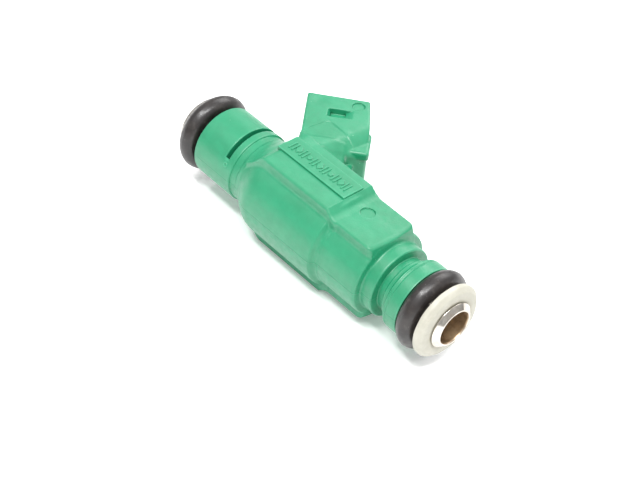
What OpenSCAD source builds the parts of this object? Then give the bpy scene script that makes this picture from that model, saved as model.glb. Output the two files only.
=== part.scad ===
// Port fuel injector lying along X. The outlet seal sits at the origin, the
// outlet points to +X, the connector leaves on the +Y side and the two flat
// pads of the moulding face up and down (+Z and -Z).

/* [Seals] */
// Distance between the centres of the two seal rings
seal_spacing = 56.4; // [54:0.1:68]
// Thickness of the seal ring cord
ring_cord = 3.53; // [3.0:0.01:3.6]
// Inside diameter of a seal ring
ring_bore = 7.52; // [7.4:0.01:8.2]

/* [Moulding] */
// Diameter of the collar next to the inlet seal
collar_d = 13.7; // [12.6:0.1:15]
// Diameter of the round part around the coil
coil_body_d = 18.0; // [17.4:0.1:21.6]
// Distance across the two flat pads around the coil
coil_pads = 18.8; // [18.4:0.1:23.4]
// Width of the flat pads around the coil
coil_pad_w = 10.4; // [8:0.1:13]
// Diameter of the round part around the valve
valve_body_d = 16.0; // [14.6:0.1:17]
// Distance across the two flat pads around the valve
valve_pads = 16.2; // [15.2:0.1:18]
// Width of the flat pads around the valve
valve_pad_w = 10.1; // [8:0.1:12]
// Diameter of the flange behind the nozzle
flange_d = 13.3; // [12.8:0.1:14.5]
// Diameter of the shoulder that backs the outlet seal
holder_d = 13.4; // [12:0.1:14]
// Diameter of the retaining ring in front of the outlet seal
retainer_d = 13.8; // [11:0.1:14.4]
// Width of the slots for the retaining clip
clip_slot_w = 0.9; // [0.7:0.1:1.5]

/* [Connector] */
// Lean of the connector towards the inlet
conn_lean = 41; // [32:1:46]
// Distance from the injector axis to the connector rim
conn_reach = 24.2; // [23.4:0.1:29.2]
// Long side of the connector shell
conn_long = 16.0; // [15:0.1:17.6]
// Short side of the connector shell
conn_short = 11.4; // [10.8:0.1:12.4]
// Wall thickness of the connector shell
conn_wall = 1.4; // [1.0:0.1:1.6]
// Distance between the two terminal blades
blade_pitch = 5.0; // [4.6:0.1:6]
// Width of a terminal blade
blade_w = 2.8; // [2.3:0.1:3.4]
// Thickness of a terminal blade
blade_t = 0.8; // [0.6:0.1:1.0]

/* [Valve] */
// Travel of the needle from closed to open
lift = 0.1; // [0.06:0.01:0.16]
// Diameter of the armature
armature_d = 7.9; // [7.0:0.05:7.95]
// Diameter of the hollow needle
needle_d = 2.2; // [1.8:0.05:2.6]
// Diameter of the valve ball
ball_d = 3.0; // [2.8:0.05:3.4]
// Diameter of each spray hole
spray_d = 0.3; // [0.2:0.02:0.4]

/* [Hidden] */
$fn = 72;
eps = 0.02;
// Clearance between fixed pieces that are assembled into each other
fit = 0.05;
// Radial clearance of the sliding pieces
run = 0.06;
pipe_d = ring_bore - 0.12;
pipe_r = pipe_d / 2;
ring_mid_r = (ring_bore + ring_cord) / 2;

// Places along the axis, from the inlet to the outlet
x_in = -seal_spacing;
x_pipe_end = x_in - 3.6;
x_collar = x_in + 2.8;
x_slot = x_in + 10.2;
x_rim_end = x_slot + clip_slot_w + 1.5;
x_coil = -38.3;
x_step = -19.9;
x_end = -9.8;
x_flange = -7.5;
x_holder = -1.9;
x_tip = 5.3;

// The coil and its iron
yoke_x0 = -36.2;
yoke_x1 = -21.2;
yoke_r = coil_body_d / 2 - 1.1;
yoke_wall = 0.8;
plate_t = 1.0;
core_r = 4.65;
pole_x = -27.0;
gap_ring_x0 = -29.4;
gap_ring_x1 = -24.0;
slide_r = armature_d / 2 + run;
pole_r = slide_r - fit;
bobbin_x0 = yoke_x0 + plate_t + fit;
bobbin_x1 = yoke_x1 - plate_t - fit;
bobbin_r = yoke_r - yoke_wall - fit;
bobbin_bore_r = core_r + fit;
bobbin_flange_t = 1.0;
bobbin_drum_r = bobbin_bore_r + 0.55;
winding_r = bobbin_r - 0.15;

// The valve
body_r = 5.6;
body_x1 = -11.5;
sleeve_x0 = -14.5;
sleeve_bore_r = 2.95;
armature_x0 = pole_x + lift + eps;
armature_x1 = -17.3;
spring_bore_r = 1.8;
spring_seat_x = -22.0;
needle_r = needle_d / 2;
needle_x0 = -20.0;
ball_r = ball_d / 2;
ball_x = 0.2;
seat_x0 = -1.6;
seat_x1 = 2.0;
seat_r = sleeve_bore_r - fit;
seat_half_angle = 45;
spray_disc_t = 0.25;
guide_x = -10.0;
guide_t = 1.0;

// The spring and the sleeve that sets its load
spring_wire_r = 0.2;
spring_mid_r = 1.35;
spring_turns = 7;
setter_x0 = -37.5;
setter_x1 = -31.0;
feed_bore_r = spring_bore_r;
filter_bore_r = 2.9;
filter_bore_x1 = x_in + 10.0;

// The retaining ring and the rolled tip
retainer_x0 = 2.6;
retainer_x1 = 4.25;
tip_flare_r = 4.35;
tip_mouth_r = 3.2;
tip_recess_r = 3.1;

// The connector
conn_x = -27.8;
socket_depth = 10.8;
shell_root = 9.0;
socket_floor = conn_reach - socket_depth;
blade_tip = conn_reach - 4.6;
foot_y = yoke_r + 0.45;
foot_x = -37.8;

// Turns a shape drawn along Z so that it lies along X
module along_axis() {
    rotate([0, 90, 0]) children();
}

module disc(x0, x1, r) {
    along_axis() translate([0, 0, x0]) cylinder(h = x1 - x0, r = r);
}

module cone(x0, x1, r0, r1) {
    along_axis() translate([0, 0, x0]) cylinder(h = x1 - x0, r1 = r0, r2 = r1);
}

module tube(x0, x1, r_out, r_in) {
    difference() {
        disc(x0, x1, r_out);
        disc(x0 - eps, x1 + eps, r_in);
    }
}

module ring(x, mid_r, cord_r) {
    along_axis() translate([0, 0, x]) rotate_extrude() translate([mid_r, 0]) circle(r = cord_r);
}

module pad(x0, x1, w, across) {
    translate([x0, -w / 2, -across / 2]) cube([x1 - x0, w, across]);
}

// A box in the connector's own frame: u runs out along the connector, v across it
module conn_box(u0, u1, v0, v1, z0, z1) {
    translate([conn_x, 0, 0]) rotate([0, 0, 90 + conn_lean])
        translate([u0, -v1, z0]) cube([u1 - u0, v1 - v0, z1 - z0]);
}

// Outside of the moulding as turned parts, before anything is cut from it
module moulding_turned() {
    disc(x_collar, x_rim_end, collar_d / 2);
    disc(x_rim_end - eps, x_coil, collar_d / 2 - 0.15);
    cone(x_coil - 3.0, x_coil + 1.6, collar_d / 2 - 0.15, coil_body_d / 2);
    disc(x_coil + 1.6 - eps, x_step, coil_body_d / 2);
    disc(x_step - eps, x_end - 0.5, valve_body_d / 2);
    cone(x_end - 0.5 - eps, x_end, valve_body_d / 2, valve_body_d / 2 - 0.4);
    disc(x_end - eps, x_flange, flange_d / 2);
    disc(x_flange - eps, x_holder, flange_d / 2 - 1.6);
    disc(x_flange + 1.4, x_holder, flange_d / 2 - 1.1);
    cone(x_holder - 3.6, x_holder - 2.9, flange_d / 2 - 1.1, holder_d / 2);
    disc(x_holder - 2.9 - eps, x_holder, holder_d / 2);
}

// The pads around the coil rise out of the neck and fall to the valve along slopes
module coil_pad_blocks() {
    rise = coil_pads / 2 - collar_d / 2;
    fall = (coil_pads - valve_pads) / 2;
    translate([0, coil_pad_w / 2, 0]) rotate([90, 0, 0]) linear_extrude(height = coil_pad_w)
        polygon([
            [x_coil - 3.0, -collar_d / 2 + 0.4], [x_coil - 0.6, -coil_pads / 2 + rise / 3],
            [x_coil + 1.4, -coil_pads / 2], [x_step - 0.7, -coil_pads / 2],
            [x_step + 0.3, -coil_pads / 2 + fall], [x_step + 0.3, coil_pads / 2 - fall],
            [x_step - 0.7, coil_pads / 2], [x_coil + 1.4, coil_pads / 2],
            [x_coil - 0.6, coil_pads / 2 - rise / 3], [x_coil - 3.0, collar_d / 2 - 0.4]
        ]);
}

// The pads around the valve, trimmed to a cone at their outlet end
module valve_pad_blocks() {
    corner_r = sqrt(pow(valve_pads / 2, 2) + pow(valve_pad_w / 2, 2)) + 0.1;
    intersection() {
        pad(x_step - eps, x_end, valve_pad_w, valve_pads);
        union() {
            disc(x_step - 1, x_end - 0.9 + eps, corner_r);
            cone(x_end - 0.9, x_end, corner_r, valve_body_d / 2 - 0.3);
        }
    }
}

// The raised panel on the upper pad, left blank
module label_panel() {
    translate([x_coil + 0.4, -1.3, 0]) cube([16.8, 4.5, coil_pads / 2 + 0.3]);
}

module connector_outside() {
    half = conn_long / 2;
    shorter = conn_short / 2;
    conn_box(shell_root, conn_reach, -shorter, shorter, -half, half);
    conn_box(0, shell_root + eps, -shorter + 0.3, 2.9, -half, half);
    conn_box(0, shell_root + eps, 2.9 - eps, shorter - 1.3, -half + 4.2, half - 4.2);
    for (side = [0, 1]) mirror([0, 0, side])
        conn_box(11.0, 17.0, shorter - eps, shorter + 1.25, half - 3.6, half - 1.7);
}

module socket_space() {
    half = conn_long / 2 - conn_wall;
    shorter = conn_short / 2 - conn_wall;
    conn_box(socket_floor, conn_reach + eps, -shorter, shorter, -half, half);
}

// Pockets that catch the wire spring of a plug, in both short sides
module catch_pockets() {
    floor_z = conn_long / 2 - conn_wall + 0.4;
    for (side = [0, 1]) mirror([0, 0, side])
        conn_box(conn_reach - 6.1, conn_reach - 3.8, -1.0, 1.8, floor_z, conn_long);
}

// Clip slots across the top and the bottom of the collar, with round floors
module clip_slots() {
    width = collar_d - 2.6;
    for (side = [0, 1]) mirror([0, 0, side]) difference() {
        translate([x_slot, -width / 2, 2.2]) cube([clip_slot_w, width, collar_d / 2]);
        disc(x_slot - 1, x_slot + clip_slot_w + 1, pipe_r + 0.75);
    }
}

// Room inside the moulding for the metal pieces
module moulding_bore() {
    disc(x_collar - 1, x_tip, pipe_r + fit);
    disc(x_coil - 0.7, yoke_x0, pipe_r + 1.5);
    disc(yoke_x0 - 0.9, yoke_x0 + eps, core_r + fit);
    disc(yoke_x0 - fit, yoke_x1 + fit, yoke_r + fit);
    disc(yoke_x1, body_x1 + fit, body_r + fit);
    disc(yoke_x1 + fit - eps, yoke_x1 + 1.7, body_r + 1.15);
}

module overmoulded_body() {
    color("mediumseagreen") difference() {
        union() {
            moulding_turned();
            coil_pad_blocks();
            valve_pad_blocks();
            label_panel();
            connector_outside();
        }
        moulding_bore();
        socket_space();
        catch_pockets();
        clip_slots();
        terminal_shape(1, fit);
        terminal_shape(-1, fit);
        lead_room(1);
        lead_room(-1);
    }
}

module inlet_pipe_and_core() {
    color("silver") difference() {
        union() {
            disc(x_pipe_end, yoke_x0, pipe_r);
            cone(x_in - 3.1, x_in - 2.7, pipe_r, 5.6);
            disc(x_in - 2.7 - eps, x_in - 2.1, 5.6);
            disc(yoke_x0 - 0.8, gap_ring_x0 - fit, core_r);
            disc(gap_ring_x0 - fit - eps, pole_x, pole_r);
        }
        disc(x_pipe_end - eps, filter_bore_x1, filter_bore_r);
        cone(x_pipe_end - eps, x_pipe_end + 0.5, filter_bore_r + 0.5, filter_bore_r);
        disc(filter_bore_x1 - eps, pole_x + eps, feed_bore_r);
    }
}

module upper_seal_ring() {
    color("dimgray") ring(x_in, ring_mid_r, ring_cord / 2);
}

module lower_seal_ring() {
    color("dimgray") ring(0, ring_mid_r, ring_cord / 2);
}

module filter_collar() {
    color("goldenrod") difference() {
        disc(x_in - 2.8, x_in - 0.6, filter_bore_r - fit / 2);
        disc(x_in - 3, x_in, filter_bore_r - 0.45);
    }
}

module filter_cage() {
    cage_r = filter_bore_r - 0.5;
    cage_x0 = x_in - 2.2;
    cage_x1 = filter_bore_x1 - 0.8;
    color("ivory") difference() {
        union() {
            disc(cage_x0, cage_x1, cage_r - 0.25);
            disc(cage_x0, cage_x0 + 1.6, cage_r);
        }
        disc(cage_x0 - eps, cage_x1 - 1.0, cage_r - 0.75);
        for (turn = [0, 60, 120]) rotate([turn, 0, 0])
            translate([cage_x0 + 2.4, -cage_r, -0.6]) cube([cage_x1 - cage_x0 - 4.2, 2 * cage_r, 1.2]);
    }
}

module filter_screen() {
    screen_r = filter_bore_r - 1.3;
    color("lightgray") tube(x_in + 0.2, filter_bore_x1 - 2.0, screen_r, screen_r - 0.12);
}

module spring_setting_sleeve() {
    color("gainsboro") difference() {
        tube(setter_x0, setter_x1, feed_bore_r - fit / 2, 0.9);
        translate([setter_x0 - eps, 0, -0.25]) cube([setter_x1 - setter_x0 + 1, 3, 0.5]);
    }
}

// The coil spring is drawn as a stack of turns joined by one thin strip
module return_spring() {
    length = spring_seat_x - setter_x1 - 0.1;
    step = (length - 2 * spring_wire_r) / (spring_turns - 1);
    color("silver") union() {
        for (i = [0 : spring_turns - 1])
            ring(setter_x1 + 0.05 + spring_wire_r + i * step, spring_mid_r, spring_wire_r);
        translate([setter_x1 + 0.05 + spring_wire_r, spring_mid_r - 0.1, -0.1])
            cube([length - 2 * spring_wire_r, 0.2, 0.2]);
    }
}

module coil_bobbin() {
    color("darkolivegreen") difference() {
        union() {
            disc(bobbin_x0, bobbin_x1, bobbin_drum_r);
            disc(bobbin_x0, bobbin_x0 + bobbin_flange_t, bobbin_r);
            disc(bobbin_x1 - bobbin_flange_t, bobbin_x1, bobbin_r);
        }
        disc(bobbin_x0 - eps, bobbin_x1 + eps, bobbin_bore_r);
        lead_room(1);
        lead_room(-1);
    }
}

module coil_winding() {
    color("peru") difference() {
        tube(bobbin_x0 + bobbin_flange_t + fit, bobbin_x1 - bobbin_flange_t - fit,
            winding_r, bobbin_drum_r + fit);
        lead_room(1);
        lead_room(-1);
    }
}

module lead_shape(side, grow) {
    translate([foot_x + 0.75, winding_r - 0.65, side * blade_pitch / 2]) rotate([0, 90, 0])
        translate([0, 0, -grow]) cylinder(h = bobbin_x0 + 2.2 - foot_x + 2 * grow, r = 0.25 + grow);
}

module lead_room(side) {
    lead_shape(side, fit);
}

module winding_lead_left() {
    color("chocolate") lead_shape(1, 0);
}

module winding_lead_right() {
    color("chocolate") lead_shape(-1, 0);
}

module magnetic_yoke() {
    color("slategray") difference() {
        disc(yoke_x0, yoke_x1, yoke_r);
        disc(yoke_x0 - eps, yoke_x1 - plate_t, yoke_r - yoke_wall);
        disc(yoke_x0, yoke_x1 + eps, bobbin_bore_r);
    }
}

module upper_yoke_plate() {
    color("lightslategray") difference() {
        disc(yoke_x0, yoke_x0 + plate_t, yoke_r - yoke_wall - fit);
        disc(yoke_x0 - eps, yoke_x0 + plate_t + eps, core_r + fit);
        lead_room(1);
        lead_room(-1);
    }
}

module gap_ring() {
    color("darkkhaki") tube(gap_ring_x0, gap_ring_x1, core_r, slide_r);
}

// Blade, foot and leg of one terminal; grow adds the room around it
module terminal_shape(side, grow) {
    z0 = side * blade_pitch / 2 - blade_w / 2 - grow;
    z1 = side * blade_pitch / 2 + blade_w / 2 + grow;
    blade_root = (foot_y + 0.5) / cos(conn_lean);
    foot_end = conn_x - blade_root * sin(conn_lean);
    conn_box(blade_root - grow, blade_tip + grow, -blade_t / 2 - grow, blade_t / 2 + grow, z0, z1);
    translate([foot_x - grow, foot_y - grow, z0])
        cube([foot_end - foot_x + 2 * grow, blade_t + 2 * grow, z1 - z0]);
    translate([foot_x - grow, winding_r - 1.0 - grow, z0])
        cube([0.7 + 2 * grow, foot_y + blade_t - winding_r + 1.0 + 2 * grow, z1 - z0]);
}

module terminal_left() {
    color("lightgray") terminal_shape(1, 0);
}

module terminal_right() {
    color("lightgray") terminal_shape(-1, 0);
}

module coil_seal_upper() {
    color("black") ring(x_coil + 0.2, pipe_r + 0.75, 0.65);
}

module coil_seal_lower() {
    color("black") ring(yoke_x1 + 0.9, body_r + 0.62, 0.5);
}

module valve_body() {
    color("silver") difference() {
        union() {
            disc(gap_ring_x1 + fit, yoke_x1 + fit + eps, core_r);
            disc(yoke_x1 + fit, body_x1, body_r);
        }
        disc(gap_ring_x1 - 1, armature_x1 + 0.8, slide_r);
        disc(armature_x1, sleeve_x0, 2.9);
        disc(sleeve_x0 - fit, body_x1 + eps, pipe_r + fit);
    }
}

module nozzle_sleeve() {
    color("silver") difference() {
        union() {
            disc(sleeve_x0, x_tip - 0.9, pipe_r);
            disc(retainer_x1 + fit, x_tip - 0.8, tip_flare_r);
            cone(x_tip - 0.8 - eps, x_tip, tip_flare_r, tip_mouth_r + 0.25);
        }
        disc(sleeve_x0 - eps, seat_x1 + 0.05, sleeve_bore_r);
        disc(seat_x1, x_tip + eps, tip_recess_r);
    }
}

module needle_guide() {
    color("silver") difference() {
        disc(guide_x, guide_x + guide_t, sleeve_bore_r - fit);
        disc(guide_x - eps, guide_x + guide_t + eps, needle_r + run);
        for (turn = [45 : 90 : 315]) rotate([turn, 0, 0]) translate([0, 2.1, 0])
            disc(guide_x - eps, guide_x + guide_t + eps, 0.5);
    }
}

// Guide bore with flow grooves, a 90 degree seat and the outlet hole
module valve_seat() {
    touch_r = ball_r * cos(seat_half_angle);
    touch_x = ball_x + ball_r * sin(seat_half_angle) + 0.02;
    exit_r = 0.55;
    color("lightsteelblue") difference() {
        disc(seat_x0, seat_x1, seat_r);
        disc(seat_x0 - eps, touch_x - (ball_r + run - touch_r), ball_r + run);
        cone(touch_x - (ball_r + run - touch_r), touch_x + touch_r - exit_r, ball_r + run, exit_r);
        disc(touch_x, seat_x1 + eps, exit_r);
        for (turn = [0 : 72 : 288]) rotate([turn, 0, 0]) translate([0, ball_r + 0.2, 0])
            disc(seat_x0 - eps, ball_x + 0.3, 0.5);
    }
}

module spray_disc() {
    color("gainsboro") difference() {
        disc(seat_x1 + fit, seat_x1 + fit + spray_disc_t, tip_recess_r - fit);
        for (turn = [45 : 90 : 315]) rotate([turn, 0, 0]) translate([0, 0.3, 0])
            disc(seat_x1, seat_x1 + 1, spray_d / 2);
    }
}

module retaining_ring() {
    color("ivory") difference() {
        union() {
            disc(retainer_x0, retainer_x1 - 0.7, retainer_d / 2);
            cone(retainer_x1 - 0.7 - eps, retainer_x1, retainer_d / 2, retainer_d / 2 - 0.7);
        }
        disc(retainer_x0 - eps, retainer_x1 + eps, pipe_r + fit);
    }
}

module armature() {
    color("darkgray") difference() {
        disc(armature_x0, armature_x1, armature_d / 2);
        disc(armature_x0 - eps, spring_seat_x, spring_bore_r);
        disc(spring_seat_x - eps, needle_x0 + eps, needle_r - 0.4);
        disc(needle_x0 - fit, armature_x1 + eps, needle_r + fit / 2);
    }
}

module needle_tube() {
    color("silver") difference() {
        disc(needle_x0, ball_x - 0.6, needle_r);
        disc(needle_x0 - eps, ball_x, needle_r - 0.4);
        translate([ball_x, 0, 0]) sphere(r = ball_r + 0.01);
        for (turn = [0, 90]) rotate([turn, 0, 0]) translate([armature_x1 + 1.6, 0, -3])
            cylinder(h = 6, r = 0.5);
    }
}

module valve_ball() {
    color("lightgray") translate([ball_x, 0, 0]) sphere(r = ball_r);
}

overmoulded_body();
inlet_pipe_and_core();
upper_seal_ring();
lower_seal_ring();
filter_collar();
filter_cage();
filter_screen();
spring_setting_sleeve();
return_spring();
coil_bobbin();
coil_winding();
winding_lead_left();
winding_lead_right();
magnetic_yoke();
upper_yoke_plate();
gap_ring();
terminal_left();
terminal_right();
coil_seal_upper();
coil_seal_lower();
valve_body();
nozzle_sleeve();
needle_guide();
valve_seat();
spray_disc();
retaining_ring();
armature();
needle_tube();
valve_ball();
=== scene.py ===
"""Looks of the fuel injector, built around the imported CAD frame."""

import math

import bmesh
import bpy
import numpy as np
from mathutils import Matrix, Vector


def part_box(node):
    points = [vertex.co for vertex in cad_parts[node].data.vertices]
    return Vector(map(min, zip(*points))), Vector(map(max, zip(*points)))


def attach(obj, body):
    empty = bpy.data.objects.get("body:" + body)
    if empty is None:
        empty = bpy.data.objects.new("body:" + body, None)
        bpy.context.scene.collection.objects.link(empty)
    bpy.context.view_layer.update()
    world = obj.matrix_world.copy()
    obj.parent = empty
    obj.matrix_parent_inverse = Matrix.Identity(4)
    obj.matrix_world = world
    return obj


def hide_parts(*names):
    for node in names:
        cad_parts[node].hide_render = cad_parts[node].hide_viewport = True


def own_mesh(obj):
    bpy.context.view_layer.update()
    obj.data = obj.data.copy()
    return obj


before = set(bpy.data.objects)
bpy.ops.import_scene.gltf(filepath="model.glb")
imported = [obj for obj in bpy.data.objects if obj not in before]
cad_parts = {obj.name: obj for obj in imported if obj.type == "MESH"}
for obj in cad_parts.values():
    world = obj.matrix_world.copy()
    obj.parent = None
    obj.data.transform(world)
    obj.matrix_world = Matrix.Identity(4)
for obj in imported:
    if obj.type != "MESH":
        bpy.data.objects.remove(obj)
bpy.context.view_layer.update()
MM = 0.001
BODY = "injector_body"


def span(node, axis):
    """Lowest and highest place of a CAD node along an axis, in millimetres."""
    low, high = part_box(node)
    return low[axis] / MM, high[axis] / MM


def middle(node, axis=0):
    """Middle of a CAD node along an axis, in millimetres."""
    low, high = span(node, axis)
    return (low + high) / 2


# ---------------------------------------------------------------- sizes, mm
# Places along the axis come from the frame
INLET_SEAL_X = middle("upper_seal_ring")
OUTLET_SEAL_X = middle("lower_seal_ring")
SEAL_R = span("upper_seal_ring", 1)[1]
SEAL_CORD_R = (span("upper_seal_ring", 0)[1] - span("upper_seal_ring", 0)[0]) / 2
COLLAR_X, HOLDER_X = span("overmoulded_body", 0)
PIPE_X = span("inlet_pipe_and_core", 0)[0]
YOKE_X0, YOKE_X1 = span("magnetic_yoke", 0)
YOKE_R = span("magnetic_yoke", 1)[1]
RETAINER_X0, RETAINER_X1 = span("retaining_ring", 0)
RETAINER_R = span("retaining_ring", 1)[1]
SLEEVE_X0, TIP_X = span("nozzle_sleeve", 0)
TIP_R = span("nozzle_sleeve", 1)[1]
VALVE_BODY_X1 = span("valve_body", 0)[1]
SEAL_GAP = 0.06
PIPE_R = SEAL_R - 2 * SEAL_CORD_R - SEAL_GAP
FIT = 0.05

# Moulding
COLLAR_R = 6.8
NECK_R = 6.52
SLOT_X = INLET_SEAL_X + 10.2
SLOT_W = 0.9
RIM_X = SLOT_X + SLOT_W + 1.5
COIL_X = -38.3
STEP_X = -19.9
END_X = -9.9
FLANGE_X = -7.5
COIL_R = 9.0
COIL_PAD = (5.2, 9.4)
VALVE_R = 8.0
VALVE_PAD = (5.05, 8.1)
FLANGE_R = 6.65
HOLDER_R = 6.7
PANEL_X = (-37.9, -21.1)
PANEL_Y = (-1.3, 3.2)
PANEL_RISE = 0.3

# Connector: u runs out along it, v runs across it
CONN_X = -27.8
CONN_LEAN = math.radians(41)
CONN_REACH = 24.2
CONN_HALF_LONG = 8.0
CONN_HALF_SHORT = 5.7
CONN_WALL = 1.4
SOCKET_FLOOR = CONN_REACH - 10.8

# Meshing
PROBE = 0.02
MOULDING_PITCH = 0.2
MOULDING_FACES = 170000
PANEL_PITCH = 0.09

# Materials: how far the rubbed wear and painted highlight reach from an edge, and the painted shade
# from a corner
EDGE_WEAR_AND_HIGHLIGHT_REACH = 0.5
CREVICE_SHADE_REACH = 0.7

# Camera: a view from the nozzle end, high on the left, rolled a little
CAMERA_AZIMUTH = math.radians(44.27)
CAMERA_ELEVATION = math.radians(42.51)
CAMERA_ROLL = math.radians(6.16)
CAMERA_AIM = (-26.31, -0.46, -4.01)
CAMERA_DISTANCE = 254.7
LENS = 82.96


# ------------------------------------------------------- distance fields, mm
def smooth_min(a, b, k):
    """Union of two fields, with a fillet about k wide."""
    h = np.maximum(k - np.abs(a - b), 0) / k
    return np.minimum(a, b) - h * h * k / 4


def smooth_max(a, b, k):
    """Common part of two fields, with a rounded edge about k wide."""
    return -smooth_min(-a, -b, k)


def smooth_step(t):
    """Rises smoothly from 0 to 1 while t does."""
    t = np.clip(t, 0, 1)
    return t * t * (3 - 2 * t)


def box_field(offsets, radius=0.0):
    """Distance to a box, from the signed distances to its pairs of sides."""
    grown = [o + radius for o in offsets]
    outside = np.sqrt(sum(np.maximum(g, 0) ** 2 for g in grown))
    inside = np.minimum(np.maximum.reduce(grown), 0)
    return outside + inside - radius


def between(value, low, high):
    """Signed distance to the slab low < value < high."""
    return np.abs(value - (low + high) / 2) - (high - low) / 2


def disc_field(x, r, x0, x1, radius, edge=0.2):
    """Disc about the X axis from x0 to x1, with rounded edges."""
    return box_field([between(x, x0, x1), r - radius], edge)


def connector_axes(x, y):
    """Places along and across the leaning connector."""
    s, c = math.sin(CONN_LEAN), math.cos(CONN_LEAN)
    return c * y - s * (x - CONN_X), c * (x - CONN_X) + s * y


def coil_part(x, y, z, r):
    """Round part around the coil with its two pads, which rise from the neck."""
    half_w, half_h = COIL_PAD
    flare_lead, flare_length, sink, overlap = 3.9, 5.6, 0.6, 0.6
    pad_lead, pad_climb, pad_slope = 3.0, 4.6, 0.85
    quarter = np.clip((x - COIL_X + flare_lead) / flare_length, 0, 1) * math.pi / 2
    flare = NECK_R + (COIL_R - NECK_R) * np.sin(quarter) ** 1.3
    flare = flare - (COIL_R - VALVE_R + 0.1) * smooth_step((x - STEP_X + overlap) / 1.1)
    barrel = np.maximum(0.8 * (r - flare), between(x, COIL_X - flare_lead, STEP_X + overlap))
    climbed = smooth_step((x - COIL_X + pad_lead) / pad_climb)
    height = NECK_R - sink + (half_h - NECK_R + sink) * climbed
    height = height - pad_slope * np.maximum(x - STEP_X + 1.1, 0)
    pads = smooth_max(np.abs(y) - half_w, 0.75 * (np.abs(z) - height), 0.45)
    pads = np.maximum(pads, between(x, COIL_X - pad_lead, STEP_X + 1.2))
    return smooth_min(barrel, pads, 0.35)


def valve_part(x, y, z, r):
    """Round part around the valve and its pads, trimmed to a cone at the outlet."""
    half_w, half_h = VALVE_PAD
    barrel = disc_field(x, r, STEP_X - 1, END_X, VALVE_R, 0.15)
    pads = box_field([between(x, STEP_X - 1, END_X),
                      np.abs(y) - half_w, np.abs(z) - half_h], 0.35)
    trim_slope, trim_scale = 2.1, 0.42
    trim = trim_scale * (r - (VALVE_R - 0.3 + trim_slope * (END_X - x)))
    return smooth_max(smooth_min(barrel, pads, 0.35), trim, 0.75)


def nozzle_end(x, r):
    """Flange, groove and the shoulder, with its two fine grooves, behind the outlet seal."""
    groove_depth, drop = 1.58, 1.1
    flange = disc_field(x, r, END_X - 1, FLANGE_X, FLANGE_R, 0.3)
    groove = disc_field(x, r, FLANGE_X - 1, HOLDER_X, FLANGE_R - groove_depth)
    barrel = disc_field(x, r, FLANGE_X + 1.3, HOLDER_X, FLANGE_R - drop, 0.3)
    groove_pair = 0.09 * smooth_step(1 - np.abs(np.abs(x - HOLDER_X + 2.35) - 0.22) / 0.17)
    rise = smooth_step((x - HOLDER_X + 3.5) / 0.9)
    face = 0.8 * between(x - 0.3 * smooth_step((r - 5.6) / 1.0), HOLDER_X - 3.6, HOLDER_X)
    top = FLANGE_R - drop + rise * (HOLDER_R - FLANGE_R + drop) - groove_pair
    shoulder = smooth_max(face, 0.7 * (r - top), 0.15)
    shape = smooth_min(flange, groove, 0.15)
    for part in (barrel, shoulder):
        shape = smooth_min(shape, part, 0.12)
    return shape


def inlet_end(x, y, z, r):
    """Collar with its clip slots, rim and neck."""
    collar = disc_field(x, r, COLLAR_X, RIM_X, COLLAR_R, 0.25)
    slot = box_field([between(x, SLOT_X, SLOT_X + SLOT_W), np.abs(y) - COLLAR_R + 1.3,
                      np.maximum(PIPE_R + 0.75 - r, 2.2 - np.abs(z))], 0.05)
    collar = smooth_max(collar, -slot, 0.1)
    neck = disc_field(x, r, RIM_X - 0.5, COIL_X + 1, NECK_R, 0.1)
    return smooth_min(collar, neck, 0.06)


def connector_part(x, y, z):
    """Connector shell, its web to the coil part, its root and the latch rails."""
    u, v = connector_axes(x, y)
    below_pad = 0.15
    drop = COIL_PAD[1] - below_pad - CONN_HALF_LONG
    tall = COIL_PAD[1] - below_pad - drop * smooth_step((y - 4.8) / 1.5)
    facet = 0.68 * (v - 0.5) - 0.733 * (u - 11.2)
    tall = tall - 0.85 * (np.sqrt(facet * facet + 0.3) + facet) / 2 - face_relief(u, v)
    left = -CONN_HALF_SHORT + 0.03 * (CONN_REACH - u)
    right = CONN_HALF_SHORT + 0.1 + np.clip(0.09 * (CONN_REACH - u), 0, 0.85)
    base = 9.6 + 0.36 * np.maximum(v - 1, 0)
    length = np.maximum(base - u, u + 0.03 * v - CONN_REACH - 0.05)
    sides, run = 0.8 * (np.abs(z) - tall), between(u, 0.5, 12)
    shell = box_field([0.9 * length, np.maximum(left - v, v - right), sides], 0.4)
    web = box_field([run, between(v, -CONN_HALF_SHORT + 0.45, 2.9), sides], 0.5)
    root = box_field([run, between(v, -2, CONN_HALF_SHORT - 1.3), np.abs(z) - 3.8], 0.7)
    rails = box_field([between(u, 11, 17), between(v, 3, CONN_HALF_SHORT + 1.3),
                       between(np.abs(z), 4.4, 6.3)], 0.6)
    shape = smooth_min(smooth_min(shell, web, 0.5), root, 0.3)
    return smooth_min(shape, rails, 0.15)


def face_relief(u, v):
    """How far the faces beside the plug catch are sunk: a faint arch and a dent."""
    arch = 0.72 * (16.9 - u - np.sqrt((v + 1.0) ** 2 + 0.4)) + 0.4
    sunk = 0.16 * smooth_step(arch / 0.25) * smooth_step((u - 11) / 3.5)
    dent = 0.1 * np.exp(-((u - CONN_REACH + 1.6) ** 2 + 0.6 * (v + 3.2) ** 2))
    return sunk + dent


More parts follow.
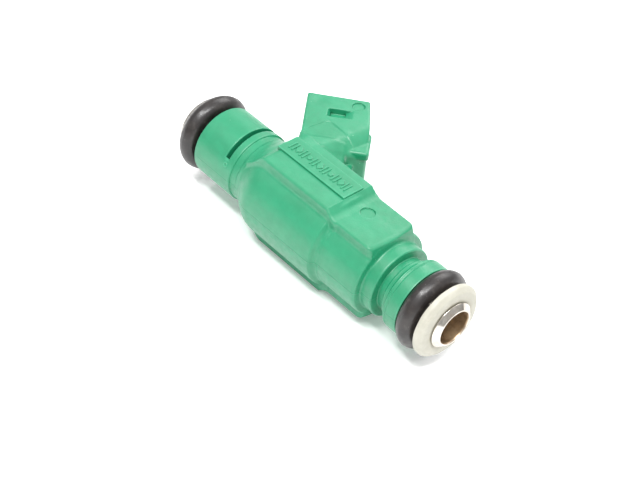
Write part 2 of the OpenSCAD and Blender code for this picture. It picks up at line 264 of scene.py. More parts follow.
def connector_cuts(x, y, z):
    """Socket, catch pockets and the ramps beside them."""
    u, v = connector_axes(x, y)
    half_short = CONN_HALF_SHORT - CONN_WALL
    half_long = CONN_HALF_LONG - CONN_WALL
    mouth = 0.5 * np.maximum(u - CONN_REACH + 0.5, 0)
    socket = box_field([between(u, SOCKET_FLOOR, CONN_REACH + 2),
                        np.abs(v) - half_short - mouth, np.abs(z) - half_long - mouth], 0.3)
    pocket = box_field([between(u, CONN_REACH - 6.1, CONN_REACH - 3.8),
                        between(v, -1.0, 1.8), half_long + 0.15 - np.abs(z)], 0.1)
    slope = np.maximum(np.maximum(0.55 * (v - 1.8), -1.4 * (v + 1.0)), -0.2)
    ramps = box_field([between(u, CONN_REACH - 6.0, CONN_REACH - 3.9), between(v, -1.6, 3.1),
                       CONN_HALF_LONG - 0.7 + slope - np.abs(z)], 0.1)
    return np.minimum(socket, np.minimum(pocket, ramps))


def shallow_marks(x, y, z):
    """Ejector marks on the valve pads and a half circle beside the connector's rim."""
    u, v = connector_axes(x, y)
    ejector = np.sqrt((x + 17.3) ** 2 + (y - 0.8) ** 2) - 1.3
    ejector = np.maximum(ejector, VALVE_PAD[1] - 0.26 - np.abs(z))
    half_round = np.sqrt((u - CONN_REACH + 2.2) ** 2 + (v - 3.85) ** 2) - 1.15
    half_round = np.maximum(half_round, CONN_HALF_LONG - 0.3 - np.abs(z))
    return np.minimum(ejector, np.maximum(half_round, 15 - u))


def inner_room(x, r):
    """Room inside the moulding for the metal pieces."""
    room = disc_field(x, r, COLLAR_X - 1, HOLDER_X + 1, PIPE_R + FIT, 0.01)
    for x0, x1, radius in ((COIL_X - 0.7, YOKE_X0, PIPE_R + 1.5),
                           (YOKE_X0 - FIT, YOKE_X1 + FIT, YOKE_R + FIT),
                           (YOKE_X1, VALVE_BODY_X1 + FIT, 5.65),
                           (YOKE_X1, YOKE_X1 + 1.7, 6.75)):
        room = np.minimum(room, disc_field(x, r, x0, x1, radius, 0.01))
    return room


def moulding_field(x, y, z):
    """The whole moulding: its parts joined with fillets, less its cuts and its inner room."""
    r = np.sqrt(y * y + z * z)
    shape = smooth_min(coil_part(x, y, z, r), inlet_end(x, y, z, r), 0.5)
    shape = smooth_min(shape, connector_part(x, y, z), 0.9)
    shape = smooth_min(shape, valve_part(x, y, z, r), 0.5)
    shape = smooth_min(shape, nozzle_end(x, r), 0.3)
    shape = smooth_max(shape, -connector_cuts(x, y, z), 0.15)
    shape = smooth_max(shape, -shallow_marks(x, y, z), 0.05)
    return np.maximum(shape, -inner_room(x, r))


# -------------------------------------------------------- field to mesh
def crossing_points(values, cells):
    """Mean place, inside each cell, where its edges cross the surface."""
    total = np.zeros((len(cells), 3))
    count = np.zeros((len(cells), 1))
    for axis in range(3):
        step = np.eye(3, dtype=int)[axis]
        others = [a for a in range(3) if a != axis]
        for corner in ((0, 0), (0, 1), (1, 0), (1, 1)):
            start = np.zeros(3, int)
            start[others] = corner
            a = values[tuple((cells + start).T)]
            b = values[tuple((cells + start + step).T)]
            hit = (a < 0) != (b < 0)
            t = np.where(hit, a / np.where(hit, a - b, 1), 0)
            total += np.where(hit[:, None], start + t[:, None] * step, 0)
            count += hit[:, None]
    return cells + total / count


def surface_quads(inside, index):
    """One face for each grid edge that crosses the surface."""
    quads = []
    for axis in range(3):
        a, b = (axis + 1) % 3, (axis + 2) % 3
        first = np.moveaxis(inside, axis, 0)
        crossed = np.moveaxis(first[:-1] != first[1:], 0, axis)
        edges = np.argwhere(crossed)
        edges = edges[(edges[:, a] > 0) & (edges[:, b] > 0)]
        ea, eb = np.eye(3, dtype=int)[a], np.eye(3, dtype=int)[b]
        ring = [edges, edges - ea, edges - ea - eb, edges - eb]
        quad = np.stack([index[tuple(p.T)] for p in ring], 1)
        leaves = inside[tuple(edges.T)]
        quads.append(np.where(leaves[:, None], quad, quad[:, ::-1]))
    return np.concatenate(quads)


def settle(points, field, limit):
    """Moves points onto the surface of the field, along its gradient."""
    for _ in range(3):
        value = field(*points.T)
        slope = np.stack([(field(*(points + d).T) - field(*(points - d).T)) / (2 * PROBE)
                          for d in np.eye(3) * PROBE], 1)
        step = value[:, None] * slope / np.maximum((slope ** 2).sum(1, keepdims=True), 0.2)
        points = points - np.clip(step, -limit, limit)
    return points


def mesh_from_field(name, field, low, high, pitch):
    """Meshes the zero surface of a field given in millimetres."""
    axes = [np.arange(a, b, pitch, dtype=np.float32) for a, b in zip(low, high)]
    values = field(*np.meshgrid(*axes, indexing="ij"))
    inside = values < 0
    count = sum(inside[i:inside.shape[0] - 1 + i, j:inside.shape[1] - 1 + j,
                       k:inside.shape[2] - 1 + k].astype(np.int8)
                for i in (0, 1) for j in (0, 1) for k in (0, 1))
    cells = np.argwhere((count > 0) & (count < 8))
    index = np.full(count.shape, -1)
    index[tuple(cells.T)] = np.arange(len(cells))
    points = np.array(low) + pitch * crossing_points(values, cells)
    points = settle(points, field, pitch / 3)
    return mesh_object(name, points * MM, surface_quads(inside, index))


# -------------------------------------------------------------- mesh helpers
def mesh_object(name, points, faces):
    """Smooth-shaded object, linked to the scene, from points in metres and faces."""
    mesh = bpy.data.meshes.new(name)
    mesh.from_pydata(points.tolist() if hasattr(points, "tolist") else points, [],
                     faces.tolist() if hasattr(faces, "tolist") else faces)
    mesh.validate()
    mesh.polygons.foreach_set("use_smooth", [True] * len(mesh.polygons))
    piece = bpy.data.objects.new(name, mesh)
    bpy.context.scene.collection.objects.link(piece)
    return piece


def rounded(outline):
    """Closed (x, r) outline with each corner (x, r, radius) turned into an arc."""
    points = []
    for i, (x, r, radius) in enumerate(outline):
        here = Vector((x, r))
        back = Vector(outline[i - 1][:2]) - here
        ahead = Vector(outline[(i + 1) % len(outline)][:2]) - here
        if radius <= 0:
            points.append(here)
            continue
        half = back.angle(ahead) / 2
        reach = min(radius / math.tan(half), 0.49 * back.length, 0.49 * ahead.length)
        start, end = here + back.normalized() * reach, here + ahead.normalized() * reach
        for step in range(7):
            t = step / 6
            points.append(start.lerp(here, t).lerp(here.lerp(end, t), t))
    return points


def lathe(name, outline, turns=160, wobble=None):
    """Turns a closed outline of (x, r) points, in millimetres, about the X axis."""
    count = len(outline)
    points, faces = [], []
    for turn in range(turns):
        angle = 2 * math.pi * turn / turns
        for x, r in outline:
            if wobble:
                x, r = wobble(x, r, angle)
            points.append((x * MM, r * MM * math.cos(angle), r * MM * math.sin(angle)))
    for turn in range(turns):
        here, after = turn * count, (turn + 1) % turns * count
        for i in range(count):
            j = (i + 1) % count
            faces.append((here + i, here + j, after + j, after + i))
    piece = mesh_object(name, points, faces)
    outward(piece)
    return piece


def outward(piece):
    """Makes every face of a closed mesh face outward."""
    work = bmesh.new()
    work.from_mesh(piece.data)
    bmesh.ops.recalc_face_normals(work, faces=work.faces)
    work.to_mesh(piece.data)
    work.free()


def sharpen(piece, degrees=35):
    """Keeps the shading crisp at edges sharper than this."""
    piece.data.set_sharp_from_angle(angle=math.radians(degrees))


def bevel(piece, width, segments):
    """Rounds the edges sharper than 30 degrees, with a width in millimetres."""
    change = piece.modifiers.new("edges", "BEVEL")
    change.width = width * MM
    change.segments = segments
    change.limit_method = "ANGLE"
    change.angle_limit = math.radians(30)


def install(piece, slot, material, *nodes, body=BODY):
    """Gives a piece its material and its body, and hides the CAD nodes that it stands for."""
    piece.data.materials.append(material)
    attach(piece, body)
    if nodes:
        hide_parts(*nodes)
    return piece


# ------------------------------------------------------------------ materials
def hue(red, green, blue):
    """Linear colour from the usual 0 to 255 numbers."""
    parts = [c / 255 for c in (red, green, blue)]
    return tuple(c / 12.92 if c < 0.04 else ((c + 0.055) / 1.055) ** 2.4 for c in parts) + (1,)


class Finish:
    """A procedural material, with short calls for the nodes that it needs."""

    def __init__(self, name, metallic=0.0, **sockets):
        self.material = bpy.data.materials.new(name)
        self.material.use_nodes = True
        self.tree = self.material.node_tree
        self.shader = self.tree.nodes["Principled BSDF"]
        self.shader.inputs["Metallic"].default_value = metallic
        for socket, value in sockets.items():
            self.shader.inputs[socket.replace("_", " ")].default_value = value
        self.place = self.node("ShaderNodeTexCoord").outputs["Object"]
        self.normal = None

    def node(self, kind, settings=None, **inputs):
        """Adds a node. An input is named, or numbered as in _6, and takes a value or a link."""
        made = self.tree.nodes.new(kind)
        for key, value in (settings or {}).items():
            setattr(made, key, value)
        for key, value in inputs.items():
            socket = made.inputs[int(key[1:]) if key[1:].isdigit() else key.replace("_", " ")]
            if isinstance(value, bpy.types.NodeSocket):
                self.tree.links.new(value, socket)
            else:
                socket.default_value = value
        return made

    def stretched(self, x, y, z):
        """Object place scaled by axis, so that a pattern runs along one of them."""
        return self.node("ShaderNodeMapping", None, Vector=self.place, Scale=(x, y, z)).outputs[0]

    def noise(self, size, detail=4.0, rough=0.55, place=None):
        """Noise from 0 to 1 whose grains are about this many millimetres."""
        return self.node("ShaderNodeTexNoise", None, Vector=place or self.place,
                         Scale=1 / (size * MM), Detail=detail, Roughness=rough).outputs["Fac"]

    def cells(self, size, place=None):
        """Distance to the nearest of many scattered points."""
        return self.node("ShaderNodeTexVoronoi", None, Vector=place or self.place,
                         Scale=1 / (size * MM)).outputs["Distance"]

    def level(self, value, low, high, to_low=0.0, to_high=1.0):
        """Maps low..high smoothly onto to_low..to_high."""
        made = self.node("ShaderNodeMapRange", {"interpolation_type": "SMOOTHSTEP"},
                         Value=value, From_Min=low, From_Max=high,
                         To_Min=to_low, To_Max=to_high)
        return made.outputs["Result"]

    def mix(self, amount, first, second):
        return self.node("ShaderNodeMix", {"data_type": "RGBA"},
                         _0=amount, _6=first, _7=second).outputs[2]

    def maths(self, how, first, second=0.0):
        return self.node("ShaderNodeMath", {"operation": how}, _0=first, _1=second).outputs[0]

    def axis(self, name):
        """One coordinate of the place, in millimetres."""
        parts = self.node("ShaderNodeSeparateXYZ", None, Vector=self.place)
        return self.maths("DIVIDE", parts.outputs[name], MM)

    def radius(self):
        """Distance from the injector's axis, in millimetres."""
        y, z = self.axis("Y"), self.axis("Z")
        square = self.maths("ADD", self.maths("MULTIPLY", y, y), self.maths("MULTIPLY", z, z))
        return self.maths("SQRT", square)

    def edges(self):
        """Bright on convex edges: rubbed wear, and on the moulding a painted highlight as well."""
        shade = self.node("ShaderNodeAmbientOcclusion",
                          {"samples": 8, "inside": True, "only_local": True},
                          Distance=EDGE_WEAR_AND_HIGHLIGHT_REACH * MM)
        return self.level(shade.outputs["AO"], 0.92, 0.5)

    def painted_crevice_shade(self):
        """Painted shade: bright in grooves and corners, where shade falls."""
        shade = self.node("ShaderNodeAmbientOcclusion", {"samples": 8},
                          Distance=CREVICE_SHADE_REACH * MM)
        return self.level(shade.outputs["AO"], 0.85, 0.3)

    def bump(self, height, depth):
        """Adds relief whose full height is this many millimetres."""
        extra = {"Normal": self.normal} if self.normal else {}
        made = self.node("ShaderNodeBump", None, Height=height, Distance=depth * MM,
                         Strength=1.0, **extra)
        self.normal = made.outputs["Normal"]

    def done(self, colour, roughness):
        """Links colour, roughness and relief to the shader."""
        self.tree.links.new(colour, self.shader.inputs["Base Color"])
        self.tree.links.new(roughness, self.shader.inputs["Roughness"])
        if self.normal:
            self.tree.links.new(self.normal, self.shader.inputs["Normal"])
        return self.material


def moulding_finish():
    """Green moulded nylon: flow marks, fine grain, rubbed edges that also carry a painted
    highlight, scuffs, painted shade in grooves and corners, a parting line.
    """
    f = Finish("moulding", Specular_IOR_Level=0.8)
    flow = f.noise(7, 3, 0.5, f.stretched(0.35, 1, 1))
    mottle = f.noise(1.6, 5)
    colour = f.mix(f.level(flow, 0.3, 0.7), hue(16, 127, 87), hue(22, 136, 96))
    colour = f.mix(f.level(mottle, 0.35, 0.75, 0, 0.3), colour, hue(34, 152, 108))
    # lighter on convex edges: rubbed wear and a painted highlight
    colour = f.mix(f.maths("MULTIPLY", f.edges(), 0.35), colour, hue(66, 176, 132))
    scuff_place = f.stretched(0.12, 1, 1.6)
    scuffs = f.level(f.cells(1.4, scuff_place), 0.02, 0.006)
    scuffs = f.maths("MULTIPLY", scuffs, f.level(f.noise(9, 2), 0.5, 0.62))
    colour = f.mix(f.maths("MULTIPLY", scuffs, 0.25), colour, hue(90, 180, 140))
    specks = f.level(f.cells(2.6), 0.04, 0.025)
    colour = f.mix(f.maths("MULTIPLY", specks, 0.35), colour, hue(170, 220, 194))
    grime = f.maths("MULTIPLY", f.level(f.noise(3.2, 6, 0.65), 0.56, 0.75), 0.16)
    colour = f.mix(grime, colour, hue(8, 88, 56))
    # painted shade: darker green in grooves, slots, the catch pocket and corners
    colour = f.mix(f.maths("MULTIPLY", f.painted_crevice_shade(), 0.6), colour, hue(0, 78, 42))
    f.bump(f.noise(0.35, 3), 0.012)
    f.bump(f.noise(2.4, 3), 0.05)
    f.bump(f.level(f.maths("ABSOLUTE", f.axis("Z")), 0.14, 0.02), 0.05)
    rough = f.level(f.noise(1.1, 5, 0.6), 0.3, 0.75, 0.36, 0.5)
    return f.done(colour, f.maths("SUBTRACT", rough, f.maths("MULTIPLY", scuffs, 0.1)))


def seal_finish():
    """Black nitrile rubber with an oily sheen, dust and fine pits."""
    f = Finish("seal", Specular_IOR_Level=0.6)
    dust = f.level(f.noise(1.3, 6, 0.65), 0.5, 0.8)
    colour = f.mix(f.level(f.noise(2.5, 3), 0.35, 0.7), hue(30, 26, 26), hue(44, 39, 37))
    colour = f.mix(f.maths("MULTIPLY", dust, 0.3), colour, hue(96, 90, 84))
    pits = f.maths("MULTIPLY", f.level(f.cells(0.9), 0.07, 0.04), 0.5)
    colour = f.mix(pits, colour, hue(140, 136, 128))
    f.bump(f.noise(0.16, 3), 0.008)
    f.bump(f.noise(1.5, 2), 0.03)
    return f.done(colour, f.level(f.noise(0.8, 5), 0.3, 0.75, 0.28, 0.46))


def cream_finish():
    """Cream plastic of the retaining ring, with stains, tanner and darker towards the tip."""
    f = Finish("retainer", Specular_IOR_Level=0.35)
    clouds = f.level(f.noise(2.8, 4), 0.35, 0.7)
    colour = f.mix(clouds, hue(176, 174, 161), hue(188, 186, 174))
    stain = f.maths("MULTIPLY", f.level(f.noise(1.7, 6, 0.65), 0.56, 0.75), 0.4)
    colour = f.mix(stain, colour, hue(150, 141, 117))
    # tanner and darker towards the tip
    near_tip = f.level(f.radius(), 5.4, 4.2, 0, 0.3)
    colour = f.mix(near_tip, colour, hue(150, 140, 114))
    f.bump(f.noise(0.3, 3), 0.01)
    f.bump(f.noise(1.8, 3), 0.03)
    return f.done(colour, f.level(f.noise(0.9, 5), 0.3, 0.75, 0.4, 0.56))


def turned_metal(name, dark, light, rough, grain=0.05, relief=0.006):
    """Turned metal: fine rings round the axis, blotches and a few scratches."""
    f = Finish(name, metallic=1.0)
    rings = f.noise(grain, 3, 0.6, f.stretched(1, 0.02, 0.02))
    blotch = f.level(f.noise(1.9, 5), 0.35, 0.72)
    colour = f.mix(blotch, dark, light)
    colour = f.mix(f.level(rings, 0.35, 0.7, 0, 0.3), colour, dark)
    f.bump(rings, relief)
    f.bump(f.level(f.cells(1.1, f.stretched(0.15, 1, 1)), 0.02, 0.006), 0.01)
    return f, colour, f.level(f.noise(0.7, 5), 0.3, 0.75, *rough)


def tip_finish():
    """Polished nozzle whose mouth is browned by heat and fuel."""
    f, colour, rough = turned_metal("tip_steel", hue(190, 184, 174), hue(230, 226, 218),
                                    (0.07, 0.2), relief=0.002)
    inside = f.maths("MULTIPLY", f.level(f.radius(), 3.3, 3.12),
                     f.level(f.axis("X"), TIP_X + 0.3, TIP_X - 0.3))
    varnish = f.level(f.noise(1.2, 3), 0.35, 0.7)
    varnish = f.mix(varnish, hue(158, 132, 100), hue(190, 164, 130))
    colour = f.mix(f.maths("MULTIPLY", inside, 0.9), colour, varnish)
    haze = f.maths("MULTIPLY", f.level(f.noise(1.0, 5), 0.5, 0.75), 0.3)
    colour = f.mix(haze, colour, hue(176, 146, 104))
    return f.done(colour, f.maths("MAXIMUM", rough, f.maths("MULTIPLY", inside, 0.5)))


def plain_metal(name, dark, light, rough=(0.25, 0.42), grain=0.05):
    """Turned metal with nothing added."""
    f, colour, roughness = turned_metal(name, dark, light, rough, grain)
    return f.done(colour, roughness)


def terminal_finish():
    """Tin-plated brass: rolled grain along the blade, yellower where it's rubbed."""
    f = Finish("terminal", metallic=1.0)
    grain = f.noise(0.12, 4, 0.6, f.stretched(0.3, 0.1, 1))
    colour = f.mix(f.level(grain, 0.35, 0.7), hue(186, 184, 178), hue(214, 212, 206))
    colour = f.mix(f.maths("MULTIPLY", f.edges(), 0.6), colour, hue(206, 178, 116))
    f.bump(grain, 0.008)
    return f.done(colour, f.level(f.noise(0.5, 4), 0.3, 0.7, 0.26, 0.42))


def screen_finish():
    """Woven steel gauze: two sets of crossing wires in relief."""
    wires_round = 24
    f = Finish("screen", metallic=1.0)
    along = f.node("ShaderNodeTexWave", {"bands_direction": "X"}, Vector=f.place,
                   Scale=1 / (3.2 * MM), Distortion=0.2).outputs["Fac"]
    upright = f.node("ShaderNodeMapping", None, Vector=f.place,
                     Rotation=(0, math.pi / 2, 0)).outputs[0]
    round_axis = f.node("ShaderNodeTexGradient", {"gradient_type": "RADIAL"},
                        Vector=upright).outputs["Fac"]
    phase = f.maths("MULTIPLY", round_axis, 2 * math.pi * wires_round)
    across = f.maths("ABSOLUTE", f.maths("SINE", phase))
    weave = f.maths("MAXIMUM", along, across)
    colour = f.mix(f.level(weave, 0.3, 0.8), hue(92, 90, 86), hue(196, 194, 190))
    f.bump(weave, 0.03)
    return f.done(colour, f.level(f.noise(0.4, 3), 0.3, 0.7, 0.3, 0.5))


def winding_finish():
    """Enamelled copper wire, wound in fine turns."""
    f = Finish("copper", metallic=1.0, Coat_Weight=0.4)
    turns = f.node("ShaderNodeTexWave", {"bands_direction": "X"}, Vector=f.place,
                   Scale=1 / (1.6 * MM), Distortion=0.6, Detail=1.0).outputs["Fac"]
    colour = f.mix(f.level(turns, 0.2, 0.8), hue(112, 52, 26), hue(206, 118, 70))
    f.bump(turns, 0.06)
    return f.done(colour, f.level(f.noise(0.8, 4), 0.3, 0.7, 0.28, 0.4))


def plain_plastic(name, dark, light, rough=(0.4, 0.58)):
    """Moulded inner piece with soft colour variation and fine grain."""
    f = Finish(name, Specular_IOR_Level=0.45)
    colour = f.mix(f.level(f.noise(2.2, 4), 0.35, 0.7), dark, light)
    colour = f.mix(f.maths("MULTIPLY", f.edges(), 0.3), colour, light)
    f.bump(f.noise(0.3, 3), 0.012)
    return f.done(colour, f.level(f.noise(0.8, 4), 0.3, 0.7, *rough))


# --------------------------------------------------------------- new pieces
def mark_outline(kind, dx, dy):
    """Flat distance to one generic mark: two bars, a dot or a diamond."""
    if kind == "bars":
        return np.maximum(np.abs(np.abs(dx) - 0.36) - 0.15, np.abs(dy) - 1.0)
    if kind == "dot":
        return np.sqrt(dx * dx + dy * dy) - 0.48
    return 0.75 * (np.abs(dx) + np.abs(dy) * 0.8 - 0.74)


def panel_field(x, y, z):
    """Raised panel with a row of generic marks in relief."""
    top = COIL_PAD[1] + PANEL_RISE
    thickness, margin, relief = 1.4, 1.8, 0.19
    panel = box_field([between(x, *PANEL_X), between(y, *PANEL_Y),
                       between(z, top - thickness, top)], 0.08)
    kinds = ["bars", "diamond", "bars", "dot"] * 2 + ["bars", "diamond", "bars"]
    pitch = (PANEL_X[1] - PANEL_X[0] - 2 * margin) / (len(kinds) - 1)
    middle_y = (PANEL_Y[0] + PANEL_Y[1]) / 2
    for i, kind in enumerate(kinds):
        flat = mark_outline(kind, x - PANEL_X[0] - margin - i * pitch, y - middle_y)
        panel = smooth_min(panel, smooth_max(flat, np.abs(z - top) - relief, 0.08), 0.05)
    return panel


def ring_profile(x, outer_r, cord_r, steps=48):
    """Round cord section with the small flash ridge that its mould leaves."""
    ridge, ridge_narrowness = 0.035, 14
    points = []
    for i in range(steps):
        angle = 2 * math.pi * i / steps
        swell = cord_r - 0.01 + ridge * max(0, 1 - abs(math.cos(angle)) * ridge_narrowness)
        points.append((x + swell * math.cos(angle), outer_r - cord_r + swell * math.sin(angle)))
    return points


def add_moulding(material):
    """Green moulding and its raised panel, each meshed from its field."""
    low = (COLLAR_X - 0.6, -COIL_PAD[1] - 0.4, -COIL_PAD[1] - 0.5)
    high = (HOLDER_X + 0.6, CONN_REACH - 1.6, COIL_PAD[1] + 0.5)
    body = mesh_from_field("moulded_body", moulding_field, low, high, MOULDING_PITCH)
    thin_out(body, MOULDING_FACES)
    field_normals(body, moulding_field)
    install(body, "moulding", material, "overmoulded_body")
    panel = mesh_from_field("marked_panel", panel_field,
                            (PANEL_X[0] - 0.3, PANEL_Y[0] - 0.3, COIL_PAD[1] - 1.3),
                            (PANEL_X[1] + 0.3, PANEL_Y[1] + 0.3, COIL_PAD[1] + 0.6), PANEL_PITCH)
    field_normals(panel, panel_field)
    install(panel, "moulding", material)


def thin_out(piece, faces):
    """Merges faces where the surface is flat until about this many are left."""
    change = piece.modifiers.new("fewer", "DECIMATE")
    change.ratio = min(1, faces / (2 * len(piece.data.polygons)))
    fixed = piece.evaluated_get(bpy.context.evaluated_depsgraph_get())
    piece.data = bpy.data.meshes.new_from_object(fixed)
    piece.modifiers.clear()


def field_normals(piece, field):
    """Shades a mesh with the slope of the field that it came from."""
    points = np.empty(len(piece.data.vertices) * 3)
    piece.data.vertices.foreach_get("co", points)
    points = points.reshape(-1, 3) / MM
    slope = np.stack([field(*(points + d).T) - field(*(points - d).T)
                      for d in np.eye(3) * PROBE], 1)
    slope /= np.maximum(np.linalg.norm(slope, axis=1, keepdims=True), 1e-9)
    piece.data.normals_split_custom_set_from_vertices(slope.tolist())


def add_seals(material):
    """The two black seal rings, a little fuller than their CAD nodes."""
    for name, x, node in (("inlet_seal", INLET_SEAL_X, "upper_seal_ring"),
                          ("outlet_seal", OUTLET_SEAL_X, "lower_seal_ring")):
        ring = lathe(name, ring_profile(x, SEAL_R + 0.12, SEAL_CORD_R + 0.05))
        install(ring, "seal", material, node)


def add_retainer(material):
    """Cream ring with a domed front edge and a small nick in its back edge."""
    nick_angle, nick_spread, nick_depth = 2.2, 0.09, 0.35

    def nicked(x, r, angle):
        from_nick = (angle + math.pi) % (2 * math.pi) - math.pi + nick_angle
        near = max(0, 1 - abs(from_nick) / nick_spread)
        worn = 0.02 * math.sin(3 * angle) + 0.012 * math.sin(11 * angle)
        at_back_edge = r > 6 and x < RETAINER_X0 + 0.6
        return x - worn * (r > 5), r - (nick_depth * near if at_back_edge else 0)

    outline = rounded([(RETAINER_X0, PIPE_R + FIT, 0.1), (RETAINER_X0, RETAINER_R, 0.2),
                       (RETAINER_X1 - 0.8, RETAINER_R, 0.5),
                       (RETAINER_X1 - 0.08, RETAINER_R - 0.8, 0.5),
                       (RETAINER_X1, TIP_R + 0.5, 0.2), (RETAINER_X1 - 0.12, PIPE_R + FIT, 0.1)])
    install(lathe("retaining_collar", outline, 220, nicked), "retainer", material, "retaining_ring")


def add_nozzle(material):
    """Bright tube with a chamfered rim and a deep mouth, and the weld bead inside it."""
    bore, seat_end = 2.95, 2.05
    recess, mouth = 3.1, 3.2
    outline = rounded([(SLEEVE_X0, bore, 0), (seat_end, bore, 0), (seat_end, recess, 0),
                       (TIP_X - 0.35, recess, 0.15), (TIP_X, mouth + 0.02, 0.1),
                       (TIP_X, mouth + 0.3, 0.12),
                       (TIP_X - 0.8, TIP_R, 0.15), (RETAINER_X1 + FIT, TIP_R, 0.06),
                       (RETAINER_X1 + FIT, PIPE_R, 0), (SLEEVE_X0, PIPE_R, 0.1)])
    nozzle = lathe("nozzle_tube", outline)
    sharpen(nozzle)
    install(nozzle, "tip_steel", material, "nozzle_sleeve")
    weld = lathe("weld_bead", ring_profile(seat_end + 0.3, 2.98, 0.14, 16), 96)
    install(weld, "tip_steel", material)


def add_inlet_pipe(material):
    """Inlet pipe with its flared lip and bead, and the magnetic core at its inner end."""
    lip = PIPE_X + 0.5
    bead, bead_r = INLET_SEAL_X - 2.1, 5.6
    mouth_r, entry_r, bore_r, bore_x = 3.32, 2.9, 1.8, lip + 12.9
    core_r, pole_r, core_x, pole_x = 4.65, 3.96, -29.45, -27.0
    disc_x = YOKE_X0 - 0.8
    outline = rounded([(bore_x, entry_r, 0.1), (lip, entry_r, 0.2), (PIPE_X, mouth_r, 0.12),
                       (PIPE_X, PIPE_R, 0.12), (lip, PIPE_R, 0.1), (bead - 0.7, bead_r, 0.15),
                       (bead, bead_r, 0.15), (bead, PIPE_R, 0.08), (disc_x, PIPE_R, 0),
                       (disc_x, core_r, 0.1), (core_x, core_r, 0.05), (core_x, pole_r, 0),
                       (pole_x, pole_r, 0.1), (pole_x, bore_r, 0.1), (bore_x, bore_r, 0.1)])
    pipe = lathe("inlet_tube", outline)
    sharpen(pipe)
    install(pipe, "pipe", material, "inlet_pipe_and_core")


def add_filter_collar(material):
    """Brass bush that holds the inlet filter."""
    x0, x1 = span("filter_collar", 0)
    r = span("filter_collar", 1)[1]
    wall = 0.42
    outline = rounded([(x0, r - wall, 0.1), (x0, r, 0.15), (x1, r, 0.1), (x1, r - wall, 0.1)])
    install(lathe("filter_bush", outline, 96), "filter_brass", material, "filter_collar")


def swept_strip(name, stations, thickness):
    """Flat strip along stations of (x, y, half width, thickness share), at z = 0."""
    work = bmesh.new()
    rings = []
    for i, (x, y, half, share) in enumerate(stations):
        here = Vector((x, y))
        ways = [(Vector(s[:2]) - here).normalized() * sign
                for s, sign in ((stations[max(i - 1, 0)], -1),
                                (stations[min(i + 1, len(stations) - 1)], 1))
                if (Vector(s[:2]) - here).length > 0]
        along = sum(ways, Vector((0, 0))).normalized()
        mitre = max(abs(along.dot(ways[0])), 0.5)
        side = Vector((-along.y, along.x)) * thickness * share / 2 / mitre
        corners = [(here + side, half), (here - side, half),
                   (here - side, -half), (here + side, -half)]
        rings.append([work.verts.new((p.x * MM, p.y * MM, z * MM)) for p, z in corners])
    for a, b in zip(rings, rings[1:]):
        for i in range(4):
            work.faces.new((a[i], a[(i + 1) % 4], b[(i + 1) % 4], b[i]))
    work.faces.new(rings[0])
    work.faces.new(reversed(rings[-1]))
    bmesh.ops.recalc_face_normals(work, faces=work.faces)
    piece = mesh_object(name, [], [])
    work.to_mesh(piece.data)
    work.free()
    bevel(piece, 0.08, 2)
    return piece


def add_terminals(material):
    """Two blades with pointed tips, each bent over to a foot and a leg."""
    foot_x, leg_y = -37.45, span("terminal_left", 1)[0]
    foot_y = YOKE_R + 0.85
    lean = Vector((-math.sin(CONN_LEAN), math.cos(CONN_LEAN)))
    start = Vector((CONN_X, 0))
    for node in ("terminal_left", "terminal_right"):
        middle_z = middle(node, 2)
        half = (span(node, 2)[1] - span(node, 2)[0]) / 2
        bend = start + lean * (foot_y / math.cos(CONN_LEAN))
        neck, tip = start + lean * (CONN_REACH - 5.7), start + lean * (CONN_REACH - 4.6)
        blade = swept_strip("blade_" + node.split("_")[1],
                            [(foot_x, leg_y, half, 1), (foot_x, foot_y, half, 1), (*bend, half, 1),
                             (*neck, half, 1), (*tip, half * 0.72, 0.35)], 0.8)
        blade.data.transform(Matrix.Translation((0, 0, middle_z * MM)))
        install(blade, "terminal", material, node)


def add_collar_mark(material):
    """Small raised ring on the side of the collar."""
    mark = lathe("collar_mark", ring_profile(0, 0.5, 0.13, 12), 32)
    angle = math.radians(156)
    outward_way = Vector((0, math.cos(angle), math.sin(angle)))
    turn = Vector((1, 0, 0)).rotation_difference(outward_way).to_matrix().to_4x4()
    place = Vector((SLOT_X + 0.65, 0, 0)) + outward_way * (COLLAR_R - 0.02)
    mark.data.transform(Matrix.Translation(place * MM) @ turn)
    install(mark, "moulding", material)


def add_return_spring(material):
    """Wound spring with closed ends, built at one length; in the injector the armature squeezes it
    as the needle lifts.
    """
    start, end = span("return_spring", 0)
    wire_r, mid_r, turns, sides = 0.2, 1.35, 7, 12
    steps_a_turn, closed_turns = 32, 0.6
    share = np.linspace(0, 1, turns * steps_a_turn + 1)[:, None]
    rise = np.clip((share * turns - closed_turns) / (turns - 2 * closed_turns), 0, 1)
    angle = 2 * math.pi * turns * share
    around = 2 * math.pi * np.arange(sides)[None] / sides
    out = mid_r + wire_r * np.cos(around)
    along = start + wire_r + rise * (end - start - 2 * wire_r) + wire_r * np.sin(around)
    points = np.stack([along, out * np.cos(angle), out * np.sin(angle)], 2).reshape(-1, 3)
    rings = len(share)
    faces = [(i * sides + j, i * sides + (j + 1) % sides,
              (i + 1) * sides + (j + 1) % sides, (i + 1) * sides + j)
             for i in range(rings - 1) for j in range(sides)]
    faces += [tuple(range(sides))[::-1], tuple(range((rings - 1) * sides, rings * sides))]
    spring = mesh_object("wound_spring", points * MM, faces)
    outward(spring)
    install(spring, "spring", material, "return_spring")
    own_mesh(spring)


# ------------------------------------------------------------ whole injector
def dress_inner_nodes(finishes):
    """Gives the CAD nodes that stay in place their materials."""
    wears = {
        "filter_cage": "filter_plastic", "filter_screen": "screen",
        "spring_setting_sleeve": "steel", "coil_bobbin": "bobbin", "coil_winding": "copper",
        "winding_lead_left": "copper", "winding_lead_right": "copper", "magnetic_yoke": "iron",
        "upper_yoke_plate": "iron", "gap_ring": "steel", "coil_seal_upper": "seal",
        "coil_seal_lower": "seal", "valve_body": "steel", "needle_guide": "steel",
        "valve_seat": "steel", "spray_disc": "steel", "armature": "iron",
        "needle_tube": "steel", "valve_ball": "steel",
    }
    for node, finish in wears.items():
        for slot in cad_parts[node].material_slots:
            slot.material = finishes[finish]


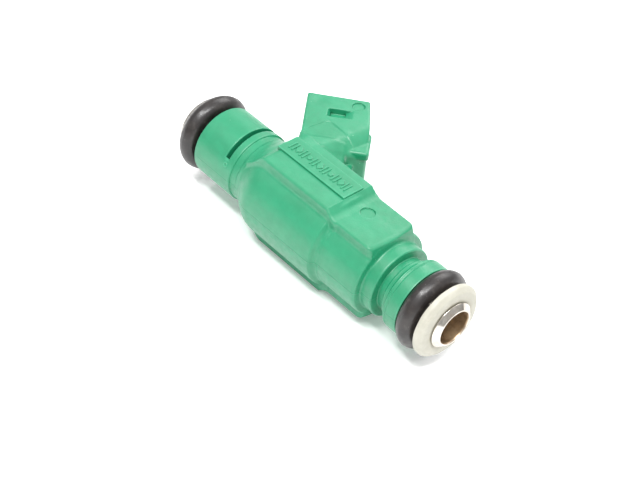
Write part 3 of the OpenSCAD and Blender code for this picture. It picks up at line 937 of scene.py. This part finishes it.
def build_injector():
    """Every piece of the injector, with its material."""
    moulding, seal = moulding_finish(), seal_finish()
    finishes = {
        "seal": seal,
        "filter_plastic": plain_plastic("filter_plastic", hue(196, 190, 172),
                                        hue(222, 217, 200)),
        "bobbin": plain_plastic("bobbin", hue(34, 38, 34), hue(58, 62, 56)),
        "screen": screen_finish(),
        "copper": winding_finish(),
        "steel": plain_metal("valve_steel", hue(150, 148, 144), hue(196, 194, 190)),
        "iron": plain_metal("iron", hue(98, 98, 98), hue(142, 140, 136), rough=(0.38, 0.55)),
    }
    add_moulding(moulding)
    add_collar_mark(moulding)
    add_seals(seal)
    add_retainer(cream_finish())
    add_nozzle(tip_finish())
    add_inlet_pipe(plain_metal("pipe", hue(158, 155, 150), hue(204, 201, 195)))
    add_filter_collar(plain_metal("filter_brass", hue(164, 122, 58), hue(214, 172, 96)))
    add_terminals(terminal_finish())
    add_return_spring(plain_metal("spring", hue(128, 126, 122), hue(188, 185, 178), grain=0.1))
    dress_inner_nodes(finishes)


# ------------------------------------------------------------ studio
def soft_light(name, place, aim, size, power):
    """White rectangular light, in metres and watts."""
    data = bpy.data.lights.new(name, "AREA")
    data.shape = "RECTANGLE"
    data.size, data.size_y = size
    data.energy = power
    light = bpy.data.objects.new(name, data)
    light.location = place
    light.rotation_euler = (Vector(aim) - Vector(place)).to_track_quat("-Z", "Y").to_euler()
    bpy.context.scene.collection.objects.link(light)


def room_light(horizon, ceiling):
    """White room that is brighter overhead than at the horizon."""
    world = bpy.data.worlds.new("room")
    world.use_nodes = True
    tree = world.node_tree
    direction = tree.nodes.new("ShaderNodeTexCoord").outputs["Generated"]
    parts = tree.nodes.new("ShaderNodeSeparateXYZ")
    ramp = tree.nodes.new("ShaderNodeMapRange")
    ramp.inputs["To Min"].default_value = horizon
    ramp.inputs["To Max"].default_value = ceiling
    tree.links.new(direction, parts.inputs[0])
    tree.links.new(parts.outputs["Z"], ramp.inputs["Value"])
    tree.links.new(ramp.outputs["Result"], tree.nodes["Background"].inputs["Strength"])
    tree.nodes["Background"].inputs["Color"].default_value = (1, 1, 1, 1)
    return world


def build_studio():
    """White floor under the resting pads, a white room and three soft lights."""
    z = span("overmoulded_body", 2)[0] * MM
    half = 4
    corners = [(-half, -half, z), (half, -half, z), (half, half, z), (-half, half, z)]
    floor = mesh_object("studio_floor", corners, [(0, 1, 2, 3)])
    paper = bpy.data.materials.new("paper")
    paper.use_nodes = True
    shader = paper.node_tree.nodes["Principled BSDF"]
    for socket, value in (("Base Color", (0.93, 0.93, 0.93, 1)), ("Roughness", 0.9),
                          ("Emission Color", (1, 1, 1, 1)), ("Emission Strength", 0.14)):
        shader.inputs[socket].default_value = value
    floor.data.materials.append(paper)
    bpy.context.scene.world = room_light(0.5, 1.05)
    aim = (-0.026, 0, 0)
    soft_light("ceiling_left", (-0.05, -0.26, 0.62), aim, (0.32, 0.07), 2.6)
    soft_light("ceiling_right", (0.2, -0.1, 0.62), aim, (0.32, 0.07), 2.6)
    soft_light("window", (-0.16, 0.6, 0.5), aim, (0.6, 0.4), 3.0)
    bpy.context.scene.view_settings.view_transform = "Standard"


def add_camera():
    """Camera that looks along its view direction at a point of the injector."""
    back = Vector((math.sin(CAMERA_AZIMUTH) * math.cos(CAMERA_ELEVATION),
                   -math.cos(CAMERA_AZIMUTH) * math.cos(CAMERA_ELEVATION),
                   math.sin(CAMERA_ELEVATION)))
    level = Vector((math.cos(CAMERA_AZIMUTH), math.sin(CAMERA_AZIMUTH), 0))
    right = level * math.cos(CAMERA_ROLL) + back.cross(level) * math.sin(CAMERA_ROLL)
    turn = Matrix((right, back.cross(right), back)).transposed().to_4x4()
    data = bpy.data.cameras.new("camera")
    data.lens, data.sensor_width = LENS, 36
    data.clip_start, data.clip_end = 0.01, 20
    camera = bpy.data.objects.new("camera", data)
    place = Vector(CAMERA_AIM) * MM + back * CAMERA_DISTANCE * MM
    camera.matrix_world = Matrix.Translation(place) @ turn
    bpy.context.scene.collection.objects.link(camera)
    bpy.context.scene.camera = camera


build_injector()
build_studio()
add_camera()
